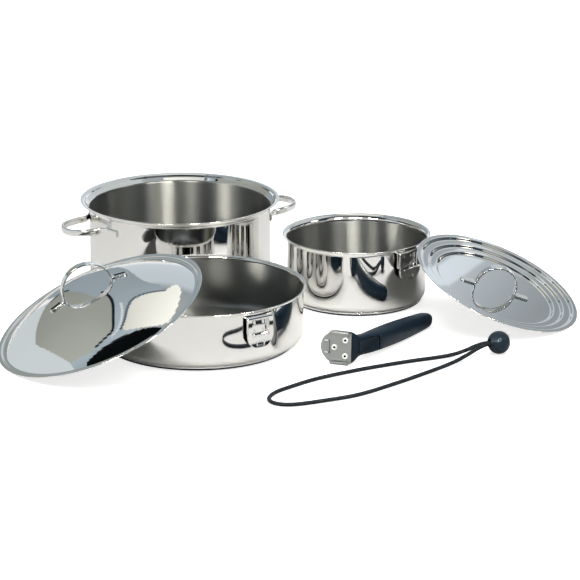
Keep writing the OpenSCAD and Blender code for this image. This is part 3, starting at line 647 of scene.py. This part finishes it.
uni_place = tilted(412.36, -169.78, 45.52, turn=-25, tilt=23.6919)
UNI_R, UNI_LIP, STEPS, STEP_H, STEP_W, STEP_R, WALL_SLOPE = 111.0, 7.0, 3, 3.5, 12.0, 2.6, 50
UNI_FLOOR = -STEPS * STEP_H
slope = math.radians(WALL_SLOPE)
wall_run = (STEP_H - 2 * STEP_R * (1 - math.cos(slope))) / math.tan(slope)
wall_half = STEP_R * math.sin(slope) + wall_run / 2
uni_line = [(0, UNI_FLOOR)]
for i in range(STEPS, 0, -1):
    r, low = UNI_R - UNI_LIP - (i - 1) * STEP_W, -i * STEP_H
    uni_line += arc(r - wall_half, low + STEP_R, STEP_R, -90, WALL_SLOPE - 90, 8)
    uni_line += arc(r + wall_half, low + STEP_H - STEP_R, STEP_R, 90 + WALL_SLOPE, 90, 8)
uni_line.append((UNI_R, 0))
bm = bmesh.new()
lathe_into(bm, sheet_outline(supported(uni_line, 6), -SHEET, 0, 1), uni_place)
finish_mesh("universal_lid_stepped", bm, [polish, satin], "universal_lid",
            ["universal_lid_disc"])
strap("universal_lid_handle", "universal_lid", uni_place, turn=31, level=UNI_FLOOR, length=95, span=51,
      rise=31, slope=0, groove_mat=polish)


# Brackets of the saute pan and the saucepan: a folded plate with a dish pressed back to the wall
def edge_step(value, width):
    """0 outside, 1 inside, with a soft edge."""
    t = min(1, max(0, value / width + 0.5))
    return t * t * (3 - 2 * t)


def between(low, high, extra, step):
    """Stops from low to high, with extra ones close to each side of the marks in extra."""
    count = max(1, round((high - low) / step))
    stops = {round(low + (high - low) * i / count, 3) for i in range(count + 1)}
    for mark in extra:
        stops |= {round(mark + d, 3) for d in (-1.2, -0.8, -0.5, -0.25, 0, 0.25, 0.5, 0.8, 1.2)
                  if low < mark + d < high}
    return sorted(stops)


def bracket(name, body, spot, r, turn, top):
    width, high, t, stand, corner = 38, 40, 1.5, 4.6, 16
    dish_w, dish_h, dish_top, catch_w, catch_h, catch_low, catch_deep = 23, 18, -4.5, 10, 6, 3, 0.45
    half, front = width / 2, r + stand + t
    bend = 2.5 * t
    dish_low = dish_top - dish_h
    catch_mid = -high + catch_low + catch_h / 2

    def pressed(v, z, grow):
        """How far the plate is pushed in at a place, with the dish grown by the sheet on its back."""
        inside = min(dish_w / 2 + grow - abs(v), dish_top + grow - z, z - dish_low + grow)
        deep = (stand + (HAIR if grow == 0 else 0)) * edge_step(inside, 1.6)
        deep += catch_deep * edge_step(min(catch_w / 2 - abs(v), catch_h / 2 - abs(z - catch_mid)), 0.9)
        along = edge_step(dish_w / 2 + 0.6 - abs(v), 1.4)
        deep -= 1.0 * along * math.exp(-((z - dish_low + 1.3) / 0.85) ** 2)
        for wx in (-6, 6):
            for wz in (-5.4, 4.6):
                d2 = (v - wx) ** 2 + (z - (dish_top + dish_low) / 2 - wz) ** 2
                deep += 0.45 * math.exp(-d2 / 0.8)
        return deep

    rows = [("strap", i / 3) for i in range(3)]
    rows += [("bend", 90 - 90 * i / 10) for i in range(11)]
    marks = [dish_top, dish_low, dish_low - 2.4, catch_mid - catch_h / 2, catch_mid + catch_h / 2]
    curve = [-high + corner * (1 - math.cos(math.radians(a))) for a in range(4, 60, 4)]
    straight = [z for z in between(-high, -bend - 0.2, marks, 1.0) if z > max(curve)]
    rows += [("plate", z) for z in reversed(straight)]
    rounded_end = set(curve) | set(between(-high, max(curve), marks, 1.0))
    rows += [("plate", z) for z in sorted(rounded_end, reverse=True)]
    marks = [-dish_w / 2, dish_w / 2, -catch_w / 2, catch_w / 2]
    columns = [c / half for c in between(-half, half, marks, 1.0)]
    columns = sorted(set(columns) | {-1 + 0.012, 1 - 0.012, -1 + 0.03, 1 - 0.03})
    place = (Matrix.Translation(Vector((*spot, top)) * MM) @ Matrix.Rotation(math.radians(turn), 4, "Z"))
    bm = bmesh.new()
    faces_of = []
    for back in (0, 1):
        grid = []
        for kind, value in rows:
            line = []
            for c in columns:
                w = half
                if kind == "plate" and value < corner - high:
                    rise = max(0, corner - (value + high))
                    w = half - corner + math.sqrt(max(0.04, corner ** 2 - rise ** 2))
                v = c * w
                blunt = 0.3 * max(0, 1 - (1 - abs(c)) * w / 0.5) if not back else 0
                if kind == "strap":
                    start = math.sqrt((r + 0.1) ** 2 - v * v)
                    out, z = start + (front - bend - start) * value, -t if back else -blunt
                elif kind == "bend":
                    radius = bend - (t if back else blunt)
                    out = front - bend + radius * math.cos(math.radians(value))
                    z = -bend + radius * math.sin(math.radians(value))
                else:
                    out, z = front - (t if back else blunt) - pressed(v, value, t if back else 0), value
                    if back:
                        out = max(out, math.sqrt((r + HAIR) ** 2 - v * v))
                line.append(bm.verts.new(place @ (Vector((out, v, z)) * MM)))
            grid.append(line)
        for g, h in zip(grid, grid[1:]):
            for k in range(len(columns) - 1):
                bm.faces.new([g[k], g[k + 1], h[k + 1], h[k]])
        faces_of.append(grid)
    face, rear = faces_of
    rim = [(i, 0) for i in range(len(rows))] + [(len(rows) - 1, k) for k in range(1, len(columns))]
    rim += [(i, len(columns) - 1) for i in range(len(rows) - 2, -1, -1)]
    rim += [(0, k) for k in range(len(columns) - 2, 0, -1)]
    for p, q in zip(rim, rim[1:] + rim[:1]):
        bm.faces.new([face[p[0]][p[1]], face[q[0]][q[1]], rear[q[0]][q[1]], rear[p[0]][p[1]]])
    finish_mesh(name + "_folded", bm, [polish], body, [name], 40)


bracket("saute_pan_bracket", "saute_pan", SAUTE_POS, SAUTE_R, turn=-55, top=67.8)
bracket("saucepan_bracket", "saucepan", SAUCE_POS, SAUCE_R, turn=-45.5, top=83.5)

# Detachable handle: X across, Y out along the grip, Z up from the head
HANDLE_TILT = math.radians(3.62483)
handle_place = (Matrix.Translation(Vector((221.213, -368.308, 21 * math.cos(HANDLE_TILT))) * MM)
                @ Matrix.Rotation(math.radians(-20.5), 4, "Z") @ Matrix.Rotation(-HANDLE_TILT, 4, "X")
                @ Matrix.Rotation(math.pi / 2, 4, "Y"))


def rivets():
    """Hollow rivets with rolled heads."""
    head_r, head_t, hollow, deep, shank, plate, length = 3.7, 1.2, 1.4, 2.16, 2.0, 1.5, 8.0
    # Index 1 paints the inside of each rivet's hollow with painted shade
    outline = [(0, deep, 1), (hollow, deep, 1), (hollow, 0.45, 1), (hollow + 0.12, 0.16, 0),
               (hollow + 0.42, 0, 0)]
    outline += [(r, z, 0) for r, z in arc(head_r - 0.9, 0.9, 0.9, -90, 0, 8)]
    outline += [(head_r, head_t, 0), (shank, head_t, 0), (shank, head_t + plate + length, 0),
                (0, head_t + plate + length, 0)]
    bm = bmesh.new()
    for x, z in ((-10, -7.3), (10, -7.3), (0, -21.3)):
        spot = (handle_place @ Matrix.Translation(Vector((x, -plate - head_t, z)) * MM)
                @ Matrix.Rotation(-math.pi / 2, 4, "X"))
        lathe_into(bm, outline, spot, 40)
    finish_mesh("handle_rivets_rolled", bm, [rivet_steel, hollow_shade_painted], "handle",
                ["handle_rivets"], 40)


def thumb_slide():
    """A block with softened edges and a bare sunk panel."""
    width, start, length, low, high, corner = 16.5, 13.0, 34.0, -5.6, 0.6, 2.0
    levels = [(0.3, low), (0, low + 0.3), (0, high - 0.7), (0.2, high - 0.2), (0.7, high), (1.85, high),
              (2.05, high - 0.06), (2.2, high - 0.4), (2.45, high - 0.5)]
    place = handle_place @ Matrix.Rotation(math.radians(26), 4, "X")
    rings = []
    for inset, z in levels:
        c = max(0.4, corner - inset)
        w, run = width / 2 - inset - c, length / 2 - inset - c
        mid = start + length / 2
        ring = []
        for cx, cy, turn in ((w, run, 0), (-w, run, 90), (-w, -run, 180), (w, -run, 270)):
            corner_line = arc(cx, mid + cy, c, turn, turn + 90, 6)
            ring += [place @ (Vector((x, y, z)) * MM) for x, y in corner_line]
        rings.append(ring)
    bm = bmesh.new()
    stack_into(bm, rings)
    finish_mesh("thumb_slide_pressed", bm, [slide_black], "lock_slide", ["thumb_slide"], 60)


def smooth_copy(name, node, body, mat, sharp):
    """The node's own mesh, shaded smooth across its facets."""
    bm = bmesh.new()
    bm.from_mesh(nodes[node].data)
    bmesh.ops.remove_doubles(bm, verts=bm.verts, dist=1e-6)
    return finish_mesh(name, bm, [mat], body, [node], sharp)


def return_spring():
    """A copy of the coil, shaded smooth and attached to no body."""
    coil = smooth_copy("latch_spring_coil", "latch_spring", None, rivet_steel, 50)
    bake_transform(coil)


rivets()
thumb_slide()
return_spring()
smooth_copy("handle_grip_moulded", "handle_grip", "handle", grip_black, 50)
paint("handle_head_plate", plate_steel)
paint("latch_bar", plate_steel)


# Studio: white floor, soft light and cards that only the steel sees
def light_path_seen(tree, glossy=1.0):
    """One number that says how strongly a ray from the camera, a mirror or glass sees the white studio."""
    path = add(tree, "LightPath")
    total = None
    for kind, share in (("Camera", 1.0), ("Glossy", glossy), ("Transmission", 1.0)):
        part = add(tree, "Math", operation="MULTIPLY")
        part.inputs[1].default_value = share
        tree.links.new(path.outputs["Is %s Ray" % kind], part.inputs[0])
        if total is not None:
            most = add(tree, "Math", operation="MAXIMUM")
            tree.links.new(total, most.inputs[0])
            tree.links.new(part.outputs[0], most.inputs[1])
            part = most
        total = part.outputs[0]
    return total


def white_world():
    """Dim blue light on the pieces. The camera, mirrors and glass see plain white."""
    world = bpy.data.worlds.new("studio")
    world.use_nodes = True
    scene.world = world
    tree = world.node_tree
    lit = tree.nodes["Background"]
    lit.inputs["Color"].default_value = (0.85, 0.93, 1.0, 1)
    lit.inputs["Strength"].default_value = 0.03
    seen = add(tree, "Background")
    seen.inputs["Color"].default_value = (1, 1, 1, 1)
    seen.inputs["Strength"].default_value = 1.0
    choose = add(tree, "MixShader")
    tree.links.new(light_path_seen(tree), choose.inputs[0])
    tree.links.new(lit.outputs[0], choose.inputs[1])
    tree.links.new(seen.outputs[0], choose.inputs[2])
    tree.links.new(choose.outputs[0], tree.nodes["World Output"].inputs["Surface"])


FLOOR_HALF = 15
MIRRORED_GLOW = 0.04
NEAR_GLOW, FAR_GLOW = 0.76, 1.0
NEAR, FAR = 0.8, 2.5


def white_floor():
    """A floor that takes shadows near the set and turns plain white further off."""
    bm = bmesh.new()
    bmesh.ops.create_grid(bm, x_segments=1, y_segments=1, size=FLOOR_HALF)
    mesh = bpy.data.meshes.new("floor")
    bm.to_mesh(mesh)
    bm.free()
    floor = bpy.data.objects.new("floor", mesh)
    scene.collection.objects.link(floor)
    mat, tree, shader = new_material("floor_white")
    shader.inputs["Base Color"].default_value = (0.865, 0.86, 0.835, 1)
    shader.inputs["Roughness"].default_value = 0.9
    shader.inputs["Specular IOR Level"].default_value = 0
    glow = add(tree, "Emission")
    glow.inputs["Color"].default_value = (1, 1, 1, 1)
    away = add(tree, "VectorMath", operation="LENGTH")
    tree.links.new(object_vector(tree), away.inputs[0])
    whiter = add(tree, "Math", operation="MULTIPLY")
    tree.links.new(light_path_seen(tree, glossy=MIRRORED_GLOW), whiter.inputs[0])
    tree.links.new(ranged(tree, away.outputs["Value"], NEAR_GLOW, FAR_GLOW, NEAR, FAR), whiter.inputs[1])
    tree.links.new(whiter.outputs[0], glow.inputs["Strength"])
    both = add(tree, "AddShader")
    tree.links.new(shader.outputs[0], both.inputs[0])
    tree.links.new(glow.outputs[0], both.inputs[1])
    tree.links.new(both.outputs[0], tree.nodes["Material Output"].inputs["Surface"])
    mesh.materials.append(mat)


LIGHT_AIM = Vector((0.1, -0.2, 0))


def soft_light(name, place, size, power):
    data = bpy.data.lights.new(name, "AREA")
    data.shape = "RECTANGLE"
    data.size = size
    data.size_y = size
    data.energy = power
    lamp = bpy.data.objects.new(name, data)
    lamp.location = place
    lamp.rotation_euler = (LIGHT_AIM - Vector(place)).to_track_quat("-Z", "Y").to_euler()
    scene.collection.objects.link(lamp)
    lamp.visible_glossy = False


white_world()
white_floor()
soft_light("key", (1.1, -1.1, 1.9), size=1.8, power=23)
soft_light("top", (0.1, -0.2, 2.6), size=2.2, power=57)

SET_MIDDLE = Vector((0.15, -0.2, 0.05))


def sky(east, north):
    """A direction by its angle from straight up, in degrees, split into parts to the right and the back."""
    lean, bearing = math.radians(math.hypot(east, north)), math.atan2(east, north)
    return Vector((math.sin(lean) * math.sin(bearing), math.sin(lean) * math.cos(bearing), math.cos(lean)))


def reflected_only(name, mesh, mat):
    mesh.materials.append(mat)
    obj = bpy.data.objects.new(name, mesh)
    obj.visible_camera = False
    obj.visible_diffuse = False
    obj.visible_shadow = False
    scene.collection.objects.link(obj)


def glow_material(name, colour, ramp=None):
    """Plain emission, or a ramp of (place, colour) along one axis of the card."""
    mat = bpy.data.materials.new(name)
    mat.use_nodes = True
    tree = mat.node_tree
    tree.nodes.remove(tree.nodes["Principled BSDF"])
    glow = add(tree, "Emission")
    glow.inputs["Color"].default_value = (*colour, 1)
    tree.links.new(glow.outputs[0], tree.nodes["Material Output"].inputs["Surface"])
    if ramp:
        axis, low, high, stops = ramp
        split = add(tree, "SeparateXYZ")
        tree.links.new(object_vector(tree), split.inputs[0])
        shade = add(tree, "ValToRGB")
        tree.links.new(ranged(tree, split.outputs[axis], 0, 1, low, high), shade.inputs[0])
        bar = shade.color_ramp.elements
        while len(bar) < len(stops):
            bar.new(0.5)
        for element, (spot, tone) in zip(bar, stops):
            element.position = spot
            element.color = (*tone, 1)
        tree.links.new(shade.outputs[0], glow.inputs["Color"])
    return mat


def rounded(corners):
    """A closed outline with each corner cut once."""
    cut = []
    for p, q in zip(corners, corners[1:] + corners[:1]):
        cut.append(tuple(a * 0.75 + b * 0.25 for a, b in zip(p, q)))
        cut.append(tuple(a * 0.25 + b * 0.75 for a, b in zip(p, q)))
    return cut


def shaded_card(name, points, faces, shades, colour):
    """A glowing card with one brightness at each of its points."""
    mesh = bpy.data.meshes.new(name)
    mesh.from_pydata(points, [], faces)
    layer = mesh.color_attributes.new("shade", "FLOAT_COLOR", "POINT")
    for item, b in zip(layer.data, shades):
        item.color = (*(c * b for c in colour), 1)
    mat = glow_material(name, colour)
    tree = mat.node_tree
    source = add(tree, "Attribute", attribute_name="shade")
    tree.links.new(source.outputs["Color"], tree.nodes["Emission"].inputs["Color"])
    reflected_only(name, mesh, mat)


dome_middle = lid_place @ Vector((0, 0, (LID_RISE - DOME_CURVE) * MM))


def dome_spot(east, north, distance):
    """Where a card hangs so that the dome lid mirrors it to the camera from one direction."""
    out = sky(east, north)
    view = (dome_middle - camera.location).normalized()
    return dome_middle + (out - view).normalized() * DOME_CURVE * MM + out * distance


def panel(name, corners, distance, colour):
    """A card whose corners are (right, back, brightness) directions from the dome lid."""
    outline = rounded(corners)
    middle = tuple(sum(c[i] for c in corners) / len(corners) for i in range(3))
    points = [dome_spot(e, n, distance) for e, n, _ in outline + [middle]]
    last = len(outline)
    faces = [[i, (i + 1) % last, last] for i in range(last)]
    shaded_card(name, points, faces, [b for _, _, b in outline + [middle]], colour)


def ribbon(name, line, width, distance, colour):
    """A narrow card along a line of directions from the dome lid."""
    path = curve_through(line, 6)
    left, right = offset_path(path, width / 2), offset_path(path, -width / 2)
    points = [dome_spot(*p, distance) for p in left + right]
    n = len(path)
    faces = [[i, i + 1, n + i + 1, n + i] for i in range(n - 1)]
    shaded_card(name, points, faces, [1.0] * len(points), colour)


def tent(name, start, stop, low, high, distance, stops):
    """A part of a round tent about the set, from bearing to bearing, in one tone or shaded by height."""
    across, up = 48, 24
    points = []
    for j in range(up + 1):
        lean = 90 - low - (high - low) * j / up
        for i in range(across + 1):
            t = math.radians(start + (stop - start) * i / across)
            points.append(SET_MIDDLE + sky(lean * math.sin(t), lean * math.cos(t)) * distance)
    row = across + 1
    faces = [[j * row + i, j * row + i + 1, (j + 1) * row + i + 1, (j + 1) * row + i]
             for j in range(up) for i in range(across)]
    mesh = bpy.data.meshes.new(name)
    mesh.from_pydata(points, [], faces)
    if len(stops) == 1:
        mat = glow_material(name, stops[0][1])
    else:
        shades = [(math.sin(math.radians(e)), tone) for e, tone in stops]
        mat = glow_material(name, (1, 1, 1), (2, 0, distance, shades))
    reflected_only(name, mesh, mat)


# Tent about the set, as (height in degrees, tone) from low to high
NAVY = (0.045, 0.06, 0.08)
HIGH_SKY = (0.42, 0.45, 0.46)
BACK_TONES = [(6, (1.0, 1.0, 1.0)), (14, (0.66, 0.73, 0.78)), (44, (0.62, 0.70, 0.75)),
              (52, (0.36, 0.41, 0.44)), (68, HIGH_SKY)]
RIGHT_TONES = [(0, (0.17, 0.20, 0.23)), (12, NAVY), (58, NAVY), (68, HIGH_SKY)]
SIDE_TONES = [(6, (0.9, 0.9, 0.9)), (12, NAVY), (58, NAVY), (68, HIGH_SKY)]
FRONT_TONES = [(6, (1.0, 1.0, 0.98)), (14, (0.56, 0.55, 0.51)), (40, (0.48, 0.47, 0.43)),
               (52, NAVY), (58, NAVY), (68, HIGH_SKY)]
TENT_R = 6.0
TENT_LOW = 5
tent("tent_back", -40, 38, TENT_LOW, 90, TENT_R, BACK_TONES)
tent("tent_right", 38, 90, -0.5, 90, TENT_R, RIGHT_TONES)
tent("tent_left", 236, 320, TENT_LOW, 90, TENT_R, SIDE_TONES)
tent("tent_front_right", 90, 128, TENT_LOW, 90, TENT_R, SIDE_TONES)
tent("tent_front", 128, 236, TENT_LOW, 90, TENT_R, FRONT_TONES)

# Light boxes: two bearings from the front to the right, two heights, distance and level
BOX_LIGHT = (3.2, 3.05, 2.7)
LIGHT_BOXES = [
    ("middle", 5, 22, 27, 33, 0.75, 46),
    ("beside", -40, -20, 27, 33, 0.8, 13),
    ("corner", 35, 50, 27, 33, 0.8, 13),
    ("right", 76, 90, 20, 28, 1.7, 2),
    ("left", -77, -63, 14.5, 19.5, 1.6, 38),
]
for name, start, stop, low, high, distance, level in LIGHT_BOXES:
    tone = tuple(level * c for c in BOX_LIGHT)
    tent("light_box_" + name, 180 - stop, 180 - start, low, high, distance, [(low, tone)])

# Panels that the dome lid mirrors
GAP_BLUE = (0.31, 0.37, 0.41)
panel("light_left", [
    (-90, -30, 1), (-90, 60, 1), (-70, 96, 0.95), (-36, 104, 0.9), (-31, 78, 0.9), (-41, 64, 0.95),
    (-51, 49, 1), (-57.5, 32, 1), (-56.5, 20, 1), (-51.5, 5.5, 1), (-46, -8, 1), (-46, -30, 1),
], 0.62, (0.72, 0.79, 0.82))
panel("dark_top", [
    (-39.5, -13, 1), (-34, -10.5, 1), (-26.5, -7, 1), (-19, -4.5, 1), (-7, 0, 1), (3.5, 2.6, 1), (14, 0, 1),
    (14, -26, 1), (-38, -28, 1),
], 0.9, (0.003, 0.004, 0.005))
panel("panel_left", [
    (-20, 36, 1), (-18.6, 27, 1), (-19.4, 12, 1.05), (-21, 3, 1.15), (-26, -2, 1.25), (-34, -7, 1.3),
    (-44, -9, 1.3), (-55, 3, 1.25), (-60, 20, 1.15), (-60, 36, 1.0), (-52, 52, 0.92), (-40, 68, 0.88),
    (-31, 76, 0.85), (-28.5, 72, 0.85), (-27, 61, 0.88), (-23.6, 48.6, 0.95),
], 4.6, (0.37, 0.39, 0.355))
ribbon("panel_left_edge", [
    (-31.6, -4.8), (-25.3, -0.6), (-20.8, 4), (-19.6, 14), (-18.8, 27.6), (-19.8, 37.4), (-23.2, 48.6),
    (-26.8, 61), (-29, 75), (-34, 71),
], 1.4, 4.55, (0.006, 0.010, 0.014))
panel("panel_top", [
    (-16.4, 1, 0.85), (-13.6, 9.7, 0.85), (-11.8, 20, 0.9), (-9.8, 26.6, 0.92), (-6.3, 31, 0.95),
    (-0.4, 34.6, 1.02), (5, 37, 1.1), (7, 48, 1.15), (10, 42, 1.2), (11, 32, 1.25), (11, 20, 1.3),
    (9, 8, 1.3), (4, 3.4, 1.25), (-6.3, 1.6, 1.05),
], 4.4, (0.94, 0.94, 0.87))
ribbon("panel_top_edge", [
    (-16.8, 2), (-14.2, 9.7), (-12.4, 20.4), (-10.4, 27), (-6.8, 31.8), (-0.6, 35.4), (4, 37.2),
], 1.3, 4.35, (0.13, 0.16, 0.19))
panel("panel_gap", [
    (-62, -13, 1.3), (-45, -4, 1.5), (-30, 6, 1.4), (-30, 60, 1), (-30, 88, 1), (-13, 88, 1),
    (-9, 58.6, 1.05), (-4.5, 46, 1.1), (3, 43.5, 1.2), (0, 30, 1.2), (-4, 0, 1.6), (-20, -8, 1.5),
    (-50, -20, 1.2),
], 5.0, GAP_BLUE)
panel("panel_gap_foot", [
    (-52, -5, 1.5), (-43, -5.5, 1.5), (-36, -7, 1.5), (-30, -9, 1.4), (-32, -26, 1.0), (-54, -26, 1.0),
], 1.0, GAP_BLUE)
panel("panel_right", [
    (19, -6, 1), (19, 62, 1), (48, 62, 0.9), (62, 30, 0.9), (62, -6, 0.9),
], 4.6, (0.66, 0.70, 0.71))
ribbon("panel_gap_light", [
    (-15.3, 27), (-14.9, 20.2), (-15.6, 12.1), (-17.6, 4), (-22, -1.6),
], 1.2, 4.5, (0.74, 0.78, 0.80))


def lid_card(name, place, distance, stops, colour):
    """A card that a flat lid mirrors to the camera, with (place across the lid, brightness) stops."""
    middle = place.translation
    normal = (place.to_3x3() @ Vector((0, 0, 1))).normalized()
    view = (middle - camera.location).normalized()
    away = (view - 2 * view.dot(normal) * normal) * distance
    grow = 1 + distance / (middle - camera.location).length
    points, shades = [], []
    for y, lift in ((-150, 1.12), (150, 0.94)):
        for x, level in stops:
            points.append(place @ (Vector((x, y, 0)) * grow * MM) + away)
            shades.append(level * lift)
    n = len(stops)
    faces = [[i, i + 1, n + i + 1, n + i] for i in range(n - 1)]
    shaded_card(name, points, faces, shades, colour)


lid_card("card_universal", uni_place, 1.2, [
    (-150, 0.46), (-80, 0.44), (-75, 0.86), (-46, 0.82), (-42, 0.56), (10, 0.45), (60, 0.36), (150, 0.36),
], (0.92, 1.02, 1.10))

# A small bright card for the ball's highlight
BALL_CARD, BALL_CARD_AWAY = 0.05, 0.35
to_card = sky(-35, -8)
across = to_card.orthogonal().normalized()
side, rise = across * BALL_CARD, to_card.cross(across) * BALL_CARD
card_middle = ball_place.translation + to_card * BALL_CARD_AWAY
shaded_card("card_ball", [card_middle + p for p in (side, rise, -side, -rise)], [[0, 1, 2, 3]],
            [1.0] * 4, (9.0, 9.3, 9.6))
